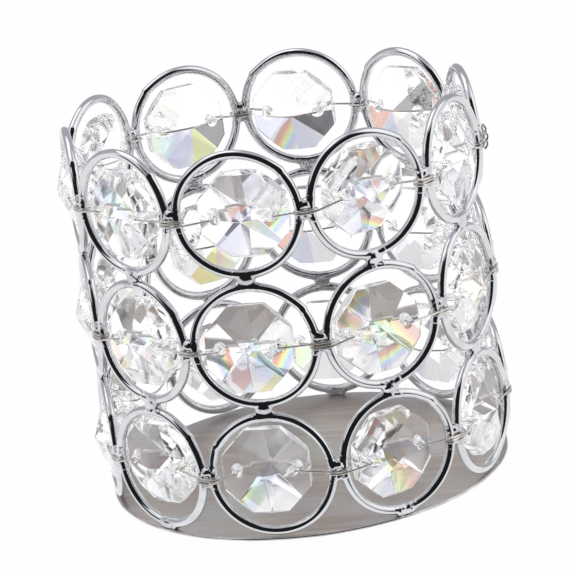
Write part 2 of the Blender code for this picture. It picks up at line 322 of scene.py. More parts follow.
class Nodes:
    """A thin helper that adds shader nodes to a tree and joins them."""

    def __init__(self, tree: NodeTree) -> None:
        """Keep the tree that the nodes go into."""
        self.tree = tree

    def feed(self, node: Node, inputs: Inputs) -> Node:
        """Set a node's inputs.

        Args:
            node: The node.
            inputs: A number, a colour or another node's output for each input.

        Returns:
            The node.
        """
        for key, value in inputs.items():
            target = node.inputs[key]
            if isinstance(value, Socket):
                self.tree.links.new(value, target)
            else:
                target.default_value = (*value, 1.0) if target.type == "RGBA" else value
        return node

    def add(self, kind: str, inputs: Inputs | None = None, **settings: object) -> Node:
        """Add a node.

        Args:
            kind: The node's type without its "ShaderNode" beginning.
            inputs: What its inputs take.
            settings: Its properties.

        Returns:
            The node.
        """
        node = self.tree.nodes.new(f"ShaderNode{kind}")
        for name, value in settings.items():
            setattr(node, name, value)
        return self.feed(node, inputs or {})

    def math(self, operation: str, *values: object) -> Socket:
        """The result of a Math node's operation on numbers or sockets."""
        return self.add("Math", dict(enumerate(values)), operation=operation).outputs[0]

    def blend(self, share: Socket, first: object, second: object) -> Socket:
        """Blend two numbers, with this share of the second."""
        kept = self.math("MULTIPLY", first, self.math("SUBTRACT", 1.0, share))
        return self.math("MULTIPLY_ADD", share, second, kept)

    def span(
        self, value: object, low: float, high: float, to_low: float = 0.0, to_high: float = 1.0
    ) -> Socket:
        """Map a number smoothly from one range to another, which is 0 to 1 if it isn't given."""
        numbers = dict(enumerate((value, low, high, to_low, to_high)))
        return self.add("MapRange", numbers, interpolation_type="SMOOTHSTEP").outputs[0]

    def mix(self, share: object, first: object, second: object) -> Socket:
        """Mix two colours, with this share of the second."""
        colours = {"Factor": share, MIX_FIRST: first, MIX_SECOND: second}
        return self.add("Mix", colours, data_type="RGBA").outputs[MIX_RESULT]

    def noise(self, place: Socket, scale: object, detail: float, stretch: Triple = (1, 1, 1)) -> Socket:
        """A pattern of 0 to 1 with so many features to the metre, so many octaves and a factor per axis."""
        mapped = self.add("Mapping", {"Vector": place, "Scale": stretch}).outputs[0]
        return self.add("TexNoise", {"Vector": mapped, "Scale": scale, "Detail": detail}).outputs["Fac"]

    def bump(self, height: Socket, depth: float) -> Socket:
        """The normals of a surface whose marks have this depth."""
        return self.add("Bump", {"Distance": depth, "Height": height}).outputs["Normal"]


@cache
def metal_skin_group() -> NodeTree:
    """Build the group for the marks of handling on metal.

    Returns:
        A group that puts out a roughness with faint smudges, a height of drawing marks and dents,
        and the smudges' tone.
    """
    group = bpy.data.node_groups.new("metal_skin", "ShaderNodeTree")
    for label in ("Roughness", "Smudges", "Mark Size", "Dents"):
        group.interface.new_socket(label, in_out="INPUT", socket_type="NodeSocketFloat")
    for label in ("Roughness", "Height", "Tone"):
        group.interface.new_socket(label, in_out="OUTPUT", socket_type="NodeSocketFloat")
    nodes = Nodes(group)
    source = group.nodes.new("NodeGroupInput").outputs
    place = nodes.add("TexCoord").outputs["Object"]
    cloud = nodes.noise(place, scale=260.0, detail=3.0)
    smudge = nodes.math("MULTIPLY", nodes.span(cloud, low=0.42, high=0.72), source["Smudges"])
    marks = nodes.noise(place, scale=source["Mark Size"], detail=4.0)
    dents = nodes.math("MULTIPLY", nodes.noise(place, scale=700.0, detail=1.0), source["Dents"])
    results = {
        "Roughness": nodes.math("ADD", source["Roughness"], smudge),
        "Height": nodes.math("ADD", dents, marks),
        "Tone": cloud,
    }
    nodes.feed(group.nodes.new("NodeGroupOutput"), results)
    return group


@dataclass(frozen=True)
class Finish:
    """A Principled material, whose inputs each kind of finish works out."""

    name: str

    def inputs(self, nodes: Nodes) -> Inputs:
        """Work out the shader's inputs."""
        raise NotImplementedError

    def build(self) -> Material:
        """Build the material, which is never sampled as a lamp.

        Returns:
            The material.
        """
        material = bpy.data.materials.new(self.name)
        material.use_nodes = True
        material.cycles.emission_sampling = "NONE"
        nodes = Nodes(material.node_tree)
        nodes.feed(material.node_tree.nodes["Principled BSDF"], self.inputs(nodes))
        return material


@dataclass(frozen=True)
class MetalFinish(Finish):
    """A bare or chromed metal with smudges, drawing marks and shallow dents."""

    colour: Colour
    dark: Colour
    roughness: float
    smudges: float
    mark_size: float
    mark_depth: float
    dents: float

    def inputs(self, nodes: Nodes) -> Inputs:
        """Work out the shader's inputs.

        Args:
            nodes: The material's nodes.

        Returns:
            The inputs by name.
        """
        marks = {
            "Roughness": self.roughness,
            "Smudges": self.smudges,
            "Mark Size": self.mark_size,
            "Dents": self.dents,
        }
        skin = nodes.add("Group", marks, node_tree=metal_skin_group()).outputs
        return {
            "Base Color": nodes.mix(nodes.span(skin["Tone"], low=0.35, high=0.65), self.colour, self.dark),
            "Metallic": 1.0,
            "Roughness": skin["Roughness"],
            "Normal": nodes.bump(skin["Height"], self.mark_depth),
        }


@dataclass(frozen=True)
class PlateFinish(Finish):
    """Rolled bare steel: warm and cool clouds drawn out along X, and fine rolling lines."""

    cool: Colour
    warm: Colour
    dark: Colour
    pale: Colour
    roughness: float
    unevenness: float
    line_depth: float

    def inputs(self, nodes: Nodes) -> Inputs:
        """Work out the shader's inputs.

        Args:
            nodes: The material's nodes.

        Returns:
            The inputs by name.
        """
        place = nodes.add("TexCoord").outputs["Object"]
        clouds = nodes.noise(place, scale=42.0, detail=3.0, stretch=(0.7, 1.6, 1.0))
        streaks = nodes.noise(place, scale=420.0, detail=3.0, stretch=(0.07, 1.0, 1.0))
        grain = nodes.noise(place, scale=2600.0, detail=2.0, stretch=(0.5, 1.0, 1.0))
        lines = nodes.noise(place, scale=5200.0, detail=2.0, stretch=(0.02, 1.0, 1.0))
        warmth = nodes.span(nodes.math("MULTIPLY_ADD", streaks, 0.75, clouds), low=0.66, high=0.98)
        shade = nodes.span(grain, low=0.30, high=0.70, to_high=0.22)
        light = nodes.span(streaks, low=0.45, high=0.75, to_high=0.5)
        toned = nodes.mix(shade, nodes.mix(warmth, self.cool, self.warm), self.dark)
        smooth, rough = self.roughness - self.unevenness, self.roughness + self.unevenness
        return {
            "Base Color": nodes.mix(light, toned, self.pale),
            "Metallic": 1.0,
            "Roughness": nodes.span(clouds, low=0.3, high=0.7, to_low=smooth, to_high=rough),
            "Normal": nodes.bump(lines, self.line_depth),
        }


@dataclass(frozen=True)
class CrystalFinish(Finish):
    """Clear cut glass.

    Its back facets carry painted spectral bands in their colour, which stand in for the faint fire
    that cut glass throws, and some carry a painted dark reflection of the room. A path of light that
    is still in the glass when its bounces are used up ends with the room's mean light.
    """

    tint: Colour
    ior: float
    roughness: float
    clearness: float
    trapped_light: Colour = (0.90, 0.91, 0.93)
    # The painted dark reflection of the room, on back facets whose strength is below 0
    painted_dark_reflection: Colour = (0.03, 0.03, 0.035)

    # The colours of the painted fire, from white through lavender, blue, cyan, lime, orange and salmon
    SPECTRUM = (
        (0.00, WHITE),
        (0.30, WHITE),
        (0.36, (0.62, 0.62, 0.86)),
        (0.48, (0.42, 0.48, 0.88)),
        (0.53, (0.28, 0.80, 0.95)),
        (0.58, (0.60, 0.92, 0.40)),
        (0.64, (0.85, 0.88, 0.16)),
        (0.70, (0.95, 0.50, 0.12)),
        (0.76, (0.75, 0.20, 0.12)),
        (0.88, (0.55, 0.24, 0.18)),
        (0.92, WHITE),
    )

    def inputs(self, nodes: Nodes) -> Inputs:
        """Work out the shader's inputs.

        Args:
            nodes: The material's nodes.

        Returns:
            The inputs by name.
        """
        # The painted fire of each back facet, read from the face attribute that the beads carry
        fire = nodes.add("Attribute", attribute_name="fire").outputs
        strength = fire["Alpha"]
        phase, heading, bands = nodes.add("SeparateXYZ", {0: fire["Vector"]}).outputs
        spot = nodes.add("Attribute", attribute_name="spot").outputs["Vector"]
        turn = nodes.add("VectorRotate", {"Vector": spot, "Angle": heading}, rotation_type="Y_AXIS")
        across = nodes.add("SeparateXYZ", {0: turn.outputs[0]}).outputs["X"]
        along = nodes.math("MULTIPLY_ADD", across, bands, phase)
        ramp = nodes.add("ValToRGB", {"Fac": nodes.math("FRACT", along)})
        stops = ramp.color_ramp.elements
        stops.remove(stops[-1])
        stops[0].color = (*self.SPECTRUM[0][1], 1.0)
        for position, colour in self.SPECTRUM[1:]:
            stops.new(position).color = (*colour, 1.0)
        # Paint the fire into the facet's colour, and paint a dark reflection where the strength is below 0
        tinted = nodes.mix(strength, self.tint, ramp.outputs["Color"])
        depth = nodes.add("LightPath").outputs["Ray Depth"]
        ended = nodes.math("GREATER_THAN", depth, LIGHT_BOUNCES + 0.5)
        return {
            "Base Color": nodes.mix(nodes.math("MULTIPLY", strength, -1.0), tinted, self.painted_dark_reflection),
            "Metallic": 0.0,
            "Roughness": self.roughness,
            "IOR": self.ior,
            "Transmission Weight": self.clearness,
            "Emission Color": nodes.mix(ended, BLACK, self.trapped_light),
            "Emission Strength": 1.0,
        }


@dataclass(frozen=True)
class PhotoCamera:
    """The camera of the photograph, by its directions from the object in degrees."""

    azimuth: float = 11.03
    elevation: float = 17.17
    roll: float = -7.55
    distance: float = 0.5060
    lens: float = 187.2
    clip_start: float = 0.01
    target: Triple = (-0.00066, 0.00332, 0.03062)

    def build(self) -> None:
        """Make the camera and give it to the scene."""
        turn, rise, roll = (math.radians(angle) for angle in (self.azimuth, self.elevation, self.roll))
        level = Vector((math.cos(turn), math.sin(turn), 0))
        back = Vector((math.sin(turn) * math.cos(rise), -math.cos(turn) * math.cos(rise), math.sin(rise)))
        above = back.cross(level)
        right = math.cos(roll) * level + math.sin(roll) * above
        up = math.cos(roll) * above - math.sin(roll) * level
        data = bpy.data.cameras.new("camera")
        data.lens = self.lens
        data.clip_start = self.clip_start
        camera = add_object("camera", data)
        camera.matrix_world = axes_frame(right, up, back, Vector(self.target) + back * self.distance)
        bpy.context.scene.camera = camera


@dataclass(frozen=True)
class RoomPatch:
    """A soft-edged part of the room, by its directions from the object in degrees.

    Left and right are measured from the camera, with the right positive. A patch that is behind
    the object on both sides says so, and its left and right count to either side.
    """

    left: float
    right: float
    low: float
    high: float
    mirror_level: float
    glass_level: float
    edge: float = 3.5
    both_sides: bool = False


@dataclass(frozen=True)
class Studio:
    """A white sweep with a grey wall behind it, a softbox and a dark room behind the camera."""

    azimuth: float
    ambient: float = 0.85
    shade_tint: Colour = (0.92, 0.92, 1.0)
    shade_start: float = 0.4
    mirror_floor: float = 0.93
    glass_floor: float = 1.15
    floor_size: float = 6.0
    floor_drop: float = 0.0001
    floor_colour: Colour = (0.98, 0.98, 0.98)
    floor_roughness: float = 0.9
    floor_glow: float = 0.965
    lamp_place: Triple = (-0.25, 0.10, 0.70)
    lamp_size: float = 0.50
    lamp_power: float = 0.7
    patches: tuple[RoomPatch, ...] = (
        RoomPatch(100, 260, 2, 95, 0.50, 0.95, edge=7.0, both_sides=True),
        RoomPatch(110, 260, 1, 14, 0.50, 0.78, edge=4.0, both_sides=True),
        RoomPatch(-180, 180, 60, 95, 0.55, 0.95, edge=8.0),
        RoomPatch(64, 118, 12, 55, 1.15, 1.15, edge=6.0),
        RoomPatch(-91, -50, -14, 19, 0.035, 0.80, edge=5.0),
        RoomPatch(-58, 55, -28, 62, 0.014, 0.62),
    )

    def build(self) -> None:
        """Make the world, the floor and the lamp, and set how light is shown and bounces."""
        self.world()
        self.floor()
        self.softbox()
        scene = bpy.context.scene
        scene.view_settings.view_transform = "Standard"
        scene.cycles.max_bounces = LIGHT_BOUNCES
        scene.cycles.glossy_bounces = LIGHT_BOUNCES
        scene.cycles.transmission_bounces = LIGHT_BOUNCES

    @staticmethod
    def inside(nodes: Nodes, angle: Socket, start: float, end: float, edge: float) -> Socket:
        """How far an angle lies within a range with soft ends.

        Args:
            nodes: The world's nodes.
            angle: The angle in radians.
            start: Where the range starts, in degrees.
            end: Where it ends.
            edge: Half the width of each soft end.

        Returns:
            The share, from 0 to 1.
        """
        low, high, soft = math.radians(start), math.radians(end), math.radians(edge)
        rise = nodes.span(angle, low - soft, low + soft)
        fall = nodes.span(angle, high - soft, high + soft, to_low=1.0, to_high=0.0)
        return nodes.math("MULTIPLY", rise, fall)

    def room(self, nodes: Nodes) -> tuple[Socket, Socket]:
        """Work out how bright the room is in each direction.

        Args:
            nodes: The world's nodes.

        Returns:
            The levels that mirrors and glass see.
        """
        place = nodes.add("TexCoord").outputs["Generated"]
        heading = {"Vector": place, "Angle": -math.radians(self.azimuth)}
        turn = nodes.add("VectorRotate", heading, rotation_type="Z_AXIS")
        across, away, above = nodes.add("SeparateXYZ", {0: turn.outputs[0]}).outputs
        aside = nodes.math("ARCTAN2", across, nodes.math("MULTIPLY", away, -1.0))
        either = nodes.math("ABSOLUTE", aside)
        rise = nodes.math("ARCSINE", above)
        mirror: object = self.mirror_floor
        glass: object = self.glass_floor
        for patch in self.patches:
            angle = either if patch.both_sides else aside
            beside = self.inside(nodes, angle, patch.left, patch.right, patch.edge)
            level = self.inside(nodes, rise, patch.low, patch.high, patch.edge)
            share = nodes.math("MULTIPLY", beside, level)
            mirror = nodes.blend(share, mirror, patch.mirror_level)
            glass = nodes.blend(share, glass, patch.glass_level)
        return mirror, glass

    def world(self) -> None:
        """Light the scene evenly, and show mirrors and glass the room."""
        world = bpy.data.worlds.new("studio")
        world.use_nodes = True
        bpy.context.scene.world = world
        nodes = Nodes(world.node_tree)
        rays = nodes.add("LightPath").outputs
        mirror, glass = self.room(nodes)
        level: object = self.ambient
        for ray, seen in (("Is Glossy Ray", mirror), ("Is Transmission Ray", glass), ("Is Camera Ray", 1.0)):
            level = nodes.blend(rays[ray], level, seen)
        dimness = nodes.span(level, self.shade_start, 1.0, to_low=1.0, to_high=0.0)
        colour = nodes.mix(dimness, WHITE, self.shade_tint)
        nodes.feed(world.node_tree.nodes["Background"], {"Color": colour, "Strength": level})

    def floor(self) -> None:
        """Lay a pale floor that shows white and keeps a trace of the object's shadow."""
        material = bpy.data.materials.new("pale_floor")
        material.use_nodes = True
        tree = material.node_tree
        nodes = Nodes(tree)
        pale = {
            "Base Color": self.floor_colour,
            "Roughness": self.floor_roughness,
            "Specular IOR Level": 0.0,
        }
        shader = nodes.feed(tree.nodes["Principled BSDF"], pale)
        glow = nodes.add("Emission", {"Strength": 1.0})
        seen = nodes.add("LightPath").outputs["Is Camera Ray"]
        share = nodes.math("MULTIPLY", seen, self.floor_glow)
        mixed = nodes.add("MixShader", {"Fac": share, 1: shader.outputs[0], 2: glow.outputs[0]})
        nodes.feed(tree.nodes["Material Output"], {"Surface": mixed.outputs[0]})
        bm = bmesh.new()
        bmesh.ops.create_grid(bm, x_segments=1, y_segments=1, size=self.floor_size / 2)
        bmesh.ops.translate(bm, vec=(0, 0, -self.floor_drop), verts=bm.verts[:])
        floor = add_object("floor", mesh_from(bm, "floor"), [material])
        floor.visible_glossy = False
        floor.visible_transmission = False

    def softbox(self) -> None:
        """Hang a soft lamp that faces the middle of the drum."""
        data = bpy.data.lights.new("overhead_softbox", "AREA")
        data.size = self.lamp_size
        data.energy = self.lamp_power
        lamp = add_object("overhead_softbox", data)
        lamp.location = self.lamp_place
        aim = Vector((0, 0, SIZES.tier_height(Tier.MIDDLE))) - Vector(self.lamp_place)
        lamp.rotation_euler = aim.to_track_quat("-Z", "Y").to_euler()


@dataclass
class BasePlate:
    """The thin round plate that everything stands on, with its sheared edge."""

    steel: Material
    edge_steel: Material
    top_radius: float = 0.00020
    bottom_radius: float = 0.00028
    steps: int = 240
    corner_steps: int = 5
    level_normal: float = 0.995
    sharp_angle: float = math.radians(35)

    def profile(self, radius: float, bottom: float, top: float) -> list[Triple]:
        """The plate's half section, from the middle of its top round the edge to that of its bottom.

        Args:
            radius: The plate's radius.
            bottom: The height of its underside.
            top: The height of its upper side.

        Returns:
            The section's points, in the XZ plane.
        """
        points = [(0.0, 0.0, top), (radius / 2, 0.0, top)]
        for size, start, centre in (
            (self.top_radius, math.pi / 2, top - self.top_radius),
            (self.bottom_radius, 0.0, bottom + self.bottom_radius),
        ):
            for step in range(self.corner_steps + 1):
                angle = start - math.pi / 2 * step / self.corner_steps
                out = radius - size + size * math.cos(angle)
                points.append((out, 0.0, centre + size * math.sin(angle)))
        return points + [(radius / 2, 0.0, bottom), (0.0, 0.0, bottom)]

    def build(self) -> None:
        """Turn the plate from its profile and put it in the place of its node."""
        low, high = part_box("base_plate")
        radius = SIZES.apothem + SIZES.ring_wire / 2
        bm = bmesh.new()
        lathe(bm, (0, 0, 1), self.steps, self.profile(radius, low[2], high[2]))
        for face in bm.faces:
            face.material_index = int(abs(face.normal.z) < self.level_normal)
        mesh = mesh_from(bm, "steel_plate")
        mesh.shade_smooth()
        mesh.set_sharp_from_angle(angle=self.sharp_angle)
        plate = add_object("steel_plate", mesh, [self.steel, self.edge_steel])
        dress(plate, DRUM, ["base_plate"])


@dataclass
class RingDrum:
    """The chromed rings with their welds, in columns of three."""

    chrome: Material
    weld_chrome: Material
    ring_steps: int = 160
    wire_sides: int = 24
    seam_swell: float = 0.00007
    seam_shift: float = 0.00014
    seam_kink: float = 0.00020
    seam_width: float = 0.028
    seam_reach: float = 6.0
    seam_step: float = 0.4
    usual_seam: float = 42.0
    seam_spread: float = 8.0
    stub_sides: int = 16
    stub_steps: int = 10
    stub_swell: float = 0.00004
    side_overlap: float = 0.06
    overlap: float = 0.05
    weld_thickness: float = 0.0011
    weld_height: float = 0.0034
    block_drop: float = 0.08
    block_share: float = 0.84
    nugget_height: float = 0.00080
    nugget_size: Triple = (0.00230, 0.00215, 0.00190)
    tier_weld_width: float = 0.0034
    tier_weld_waist: float = 0.0027
    flare_rise: float = 0.36
    flare_share: float = 0.28
    tier_nugget_rise: float = 0.20
    tier_nugget: Triple = (1.15, 1.25, 1.1)
    foot_width: float = 0.0036
    foot_bite: float = 0.45
    foot_share: float = 0.8
    foot_nugget_place: tuple[float, float] = (0.30, 0.8)
    foot_nugget: Triple = (0.5, 1.15, 1.5)
    seed_start: int = 100
    weld_lumps: float = 0.00009
    lump_range: float = 10.0
    lumps_per_metre: float = 700.0
    fine_lumps_per_metre: float = 1600.0
    fine_share: float = 0.3
    voxel: float = 0.00011
    flow_steps: int = 24
    seams: dict[tuple[int, Tier], float] = field(
        default_factory=lambda: {
            (0, Tier.BOTTOM): 148.0,
            (9, Tier.MIDDLE): 34.0,
            (0, Tier.MIDDLE): 33.0,
            (0, Tier.TOP): 40.0,
            (1, Tier.TOP): 47.0,
        }
    )

    def build(self) -> None:
        """Build every column and put it in the place of its node."""
        for number in range(SIZES.columns):
            self.column(number)

    def column(self, number: int) -> None:
        """Build one column of rings. Every second one is welded to the plate.

        Args:
            number: The column, counted from the front to the right.
        """
        bm = bmesh.new()
        dice = random.Random(number + self.seed_start)
        for tier in Tier:
            usual = self.usual_seam + dice.uniform(-self.seam_spread, self.seam_spread)
            seam = self.seams.get((number, tier), usual)
            absorb(bm, self.ring(math.radians(seam)), SIZES.station(number, tier))
            self.add_weld(bm, self.side_weld, SIZES.joint(number, tier), dice.random())
        for tier in (Tier.BOTTOM, Tier.MIDDLE):
            above = SIZES.station(number, tier) @ Matrix.Translation((0, 0, SIZES.tier_pitch / 2))
            self.add_weld(bm, self.tier_weld, above, dice.random())
        if number % 2:
            self.add_weld(bm, self.foot_weld, SIZES.station(number, Tier.BOTTOM), dice.random())
        name = f"chromed_rings_{number + 1:02d}"
        piece = add_object(name, mesh_from(bm, name), [self.chrome, self.weld_chrome])
        dress(piece, DRUM, [f"ring_column_{number + 1:02d}"])

    def ring(self, seam: float) -> Mesh:
        """Bend one ring of round wire with its butt weld.

        Args:
            seam: The angle of its butt weld, from its right and upwards.

        Returns:
            The mesh, in the ring's own frame.
        """
        bm = bmesh.new()
        bmesh.ops.create_circle(bm, segments=self.wire_sides, radius=SIZES.ring_wire / 2)
        bmesh.ops.translate(bm, vec=(SIZES.ring_radius, 0, 0), verts=bm.verts[:])
        bmesh.ops.rotate(bm, matrix=Matrix.Rotation(-seam, 3, "Y"), verts=bm.verts[:])
        lathe(bm, (0, 1, 0), self.ring_steps)
        reach = self.seam_reach * self.seam_width
        for vert in bm.verts:
            angle = math.remainder(math.atan2(vert.co.z, vert.co.x) - seam, math.tau)
            outward = Vector((vert.co.x, 0, vert.co.z)).normalized()
            from_middle = vert.co - outward * SIZES.ring_radius
            swell = math.exp(-((angle / self.seam_width) ** 2)) * self.seam_swell
            slope = math.exp(-((angle / reach) ** 2)) * self.seam_shift
            shift = slope * math.tanh(angle / (self.seam_step * self.seam_width)) / 2
            shift += self.seam_kink * math.exp(-abs(angle) / reach)
            vert.co += from_middle.normalized() * swell + outward * shift
        mesh = mesh_from(bm, "ring")
        mesh.shade_smooth()
        return mesh

    def add_weld(self, bm: BMesh, weld: Mesh, place: Matrix, luck: float) -> None:
        """Add one weld, with the uneven skin that each has.

        Args:
            bm: The column's bmesh.
            weld: The weld's mesh.
            place: Where it goes.
            luck: A number from 0 to 1 that makes it differ from the others.
        """
        copy = weld.copy()
        seed = luck * self.lump_range
        shift = Vector((seed, 3 * seed, 7 * seed))
        normals = [normal.vector.copy() for normal in copy.vertex_normals]
        for vert, normal in zip(copy.vertices, normals):
            lump = noise.noise(vert.co * self.lumps_per_metre + shift)
            lump += self.fine_share * noise.noise(vert.co * self.fine_lumps_per_metre + shift)
            vert.co += normal * lump * self.weld_lumps
        absorb(bm, copy, place)

    def stub(self, bm: BMesh, place: Matrix, middle: float, width: float, overlap: float) -> None:
        """Add a short closed stretch of a ring's wire.

        Args:
            bm: The weld's bmesh.
            place: The ring's frame.
            middle: The angle of the stretch's middle, from the ring's right and upwards.
            width: The width of the weld that it reaches past.
            overlap: How far it reaches past the weld at both ends, as an angle.
        """
        part = bmesh.new()
        half = width / 2 / SIZES.ring_radius + overlap
        thick = SIZES.ring_wire / 2 + self.stub_swell
        bmesh.ops.create_circle(part, cap_ends=True, segments=self.stub_sides, radius=thick)
        bmesh.ops.translate(part, vec=(SIZES.ring_radius, 0, 0), verts=part.verts[:])
        bmesh.ops.rotate(part, matrix=Matrix.Rotation(half - middle, 3, "Y"), verts=part.verts[:])
        whole = part.verts[:] + part.edges[:] + part.faces[:]
        bmesh.ops.spin(part, geom=whole, cent=ORIGIN, axis=(0, -1, 0), angle=2 * half, steps=self.stub_steps)
        absorb(bm, mesh_from(part, "stub"), place)

    @staticmethod
    def web(bm: BMesh, centre: Triple, size: Triple) -> None:
        """Add a block of weld metal, by its middle and its sizes along the axes."""
        bmesh.ops.create_cube(bm, size=1.0, matrix=sized(centre, size))

    @staticmethod
    def nugget(bm: BMesh, centre: Triple, size: Triple) -> None:
        """Add an egg-shaped lump of weld metal, by its middle and its sizes along the axes."""
        bmesh.ops.create_uvsphere(bm, u_segments=24, v_segments=16, radius=0.5, matrix=sized(centre, size))

    def fused(self, bm: BMesh, name: str) -> Mesh:
        """Fuse closed shells into one blob with round fillets.

        Args:
            bm: The shells.
            name: The mesh's name.

        Returns:
            The mesh, whose faces take the second material.
        """
        bmesh.ops.recalc_face_normals(bm, faces=bm.faces[:])
        blob = add_object(name, mesh_from(bm, name))
        remesh = blob.modifiers.new("fuse", "REMESH")
        remesh.mode = "VOXEL"
        remesh.voxel_size = self.voxel
        smooth = blob.modifiers.new("flow", "SMOOTH")
        smooth.iterations = self.flow_steps
        mesh = applied(blob, name)
        mesh.shade_smooth()
        mesh.polygons.foreach_set("material_index", [1] * len(mesh.polygons))
        return mesh

    @cached_property
    def side_weld(self) -> Mesh:
        """The weld between two rings side by side, in the joint's frame.

        Returns:
            The mesh.
        """
        bm = bmesh.new()
        to_joint = SIZES.joint(0, Tier.MIDDLE).inverted()
        for column, middle in ((0, 0.0), (1, math.pi)):
            place = to_joint @ SIZES.station(column, Tier.MIDDLE)
            self.stub(bm, place, middle, self.weld_height, self.side_overlap)
        depth = SIZES.joint_depth
        block = (SIZES.across_joint, self.weld_thickness, self.weld_height * self.block_share)
        self.web(bm, (0, depth, -self.weld_height * self.block_drop), block)
        self.nugget(bm, (0, depth, self.nugget_height), self.nugget_size)
        return self.fused(bm, "side_weld")

    @cached_property
    def tier_weld(self) -> Mesh:
        """The waisted weld between two rings above one another, about its own middle.

        Returns:
            The mesh.
        """
        bm = bmesh.new()
        reach = SIZES.ring_wire + SIZES.tier_gap
        for side in (-1, 1):
            ring = Matrix.Translation((0, 0, side * SIZES.tier_pitch / 2))
            self.stub(bm, ring, -side * math.pi / 2, self.tier_weld_width, self.overlap)
            flare = (self.tier_weld_width, self.weld_thickness, reach * self.flare_share)
            self.web(bm, (0, 0, side * reach * self.flare_rise), flare)
        self.web(bm, ORIGIN, (self.tier_weld_waist, self.weld_thickness, reach))
        wide, deep, tall = self.tier_nugget
        nugget = (self.tier_weld_waist * wide, SIZES.ring_wire * deep, reach * tall)
        self.nugget(bm, (0, 0, reach * self.tier_nugget_rise), nugget)
        return self.fused(bm, "tier_weld")

    @cached_property
    def foot_weld(self) -> Mesh:
        """The weld between a ring and the plate, in the ring's frame.

        Returns:
            The mesh.
        """
        bm = bmesh.new()
        self.stub(bm, Matrix.Identity(4), -math.pi / 2, self.foot_width, self.overlap)
        sole = -SIZES.ring_radius - SIZES.ring_wire / 2 - SIZES.seat_gap
        height = SIZES.ring_wire * self.foot_bite + SIZES.seat_gap
        block = (self.foot_width * self.foot_share, self.weld_thickness, height)
        self.web(bm, (0, 0, sole + height / 2), block)
        wide, deep, tall = self.foot_nugget
        nugget = (self.foot_width * wide, SIZES.ring_wire * deep, height * tall)
        aside, rise = self.foot_nugget_place
        for side in (-1, 1):
            self.nugget(bm, (side * self.foot_width * aside, 0, sole + height * rise), nugget)
        return self.fused(bm, "foot_weld")


# The hues of the painted fire on the glass
class Hue(Enum):
    """Where the bands of colour lie on the crystal's spectrum."""

    LAVENDER = 0.39
    BLUE = 0.48
    CYAN = 0.53
    GREEN = 0.59
    LIME = 0.64
    ORANGE = 0.70
    SALMON = 0.80


# Painted fire: spectral colour painted into one back facet, or a painted dark reflection
@dataclass(frozen=True)
class Fire:
    """The colour that one back facet throws.

    Facets count from the bead's right side upwards. The colour is painted fire. Few bands to the
    metre give a facet of one colour, and many give a rainbow. A strength below 0 paints a dark
    reflection of the room instead.
    """

    facet: int
    hue: Hue
    bands: float = 8.0
    heading: float = 0.0
    strength: float = 0.55

    def values(self) -> tuple[float, float, float, float]:
        """What the crystal's finish reads on the facet."""
        return self.hue.value, self.heading, self.bands, self.strength


# Each bead's painted fire, and its painted dark reflections where the strength is below 0
FIRES: dict[Tier, dict[int, tuple[Fire, ...]]] = {
    Tier.TOP: {
        0: (
            Fire(4, Hue.SALMON, 45, 3.5, 0.9),
            Fire(5, Hue.LAVENDER, 30, 2.6, 0.7),
            Fire(7, Hue.BLUE, 200, 2.4, 1.0),
        ),
        1: (
            Fire(5, Hue.LAVENDER, 25, 0.0, 0.8),
            Fire(6, Hue.BLUE, 200, 1.0, 0.9),
            Fire(7, Hue.GREEN, 120, 2.0, 0.6),
        ),
        2: (Fire(6, Hue.LAVENDER, 20, 0.0, 0.3),),
        4: (
            Fire(7, Hue.SALMON, 8, 0.0, 0.9),
            Fire(6, Hue.BLUE, 20, 1.0, 0.7),
            Fire(3, Hue.BLUE, strength=-0.8),
        ),
        5: (
            Fire(7, Hue.LAVENDER, 10, 0.4, 0.7),
            Fire(6, Hue.SALMON, 150, 0.6, 0.9),
            Fire(5, Hue.LAVENDER, 12, 0.0, 0.8),
            Fire(4, Hue.BLUE, strength=-1.0),
        ),
        6: (
            Fire(4, Hue.BLUE, strength=-0.9),
            Fire(5, Hue.LIME, 8, 0.0, 0.9),
            Fire(6, Hue.LAVENDER, 25, 0.5, 0.9),
            Fire(7, Hue.LAVENDER, 30),
        ),
        9: (Fire(3, Hue.LIME, 40, 0.0, 0.6), Fire(4, Hue.ORANGE, 180, 0.8, 0.5)),
    },
    Tier.MIDDLE: {
        0: (
            Fire(4, Hue.BLUE, 200, 0.3, 1.0),
            Fire(5, Hue.CYAN, 40, 1.6, 0.5),
            Fire(6, Hue.GREEN, 70, 0.9, 0.8),
            Fire(7, Hue.BLUE, 170, 2.6, 1.0),
        ),
        1: (
            Fire(5, Hue.SALMON, 110, 1.2, 0.6),
            Fire(6, Hue.BLUE, 180, 2.0, 0.9),
            Fire(7, Hue.CYAN, 90, 0.7, 0.8),
        ),
        4: (Fire(6, Hue.LAVENDER, 60, 0.9, 0.8),),
        5: (Fire(7, Hue.SALMON, 8, 0.0, 0.9), Fire(6, Hue.BLUE, 20, 0.4)),
        6: (Fire(6, Hue.LIME, 8, 0.0, 0.9), Fire(5, Hue.SALMON, 40, 0.4)),
        9: (Fire(4, Hue.ORANGE, 150, 0.4, 0.5),),
    },
    Tier.BOTTOM: {
        0: (Fire(5, Hue.BLUE, 120, 2.6, 0.7), Fire(6, Hue.LAVENDER, 40, 0.8, 0.5)),
        1: (
            Fire(5, Hue.CYAN, 50, 0.5, 0.4),
            Fire(6, Hue.LIME, 60, 0.2, 0.8),
            Fire(7, Hue.LAVENDER, 100, 1.4, 0.8),
        ),
        4: (Fire(6, Hue.LAVENDER, 40, 0.6, 0.8),),
        5: (Fire(7, Hue.CYAN, 20, 0.4, 0.7),),
    },
}


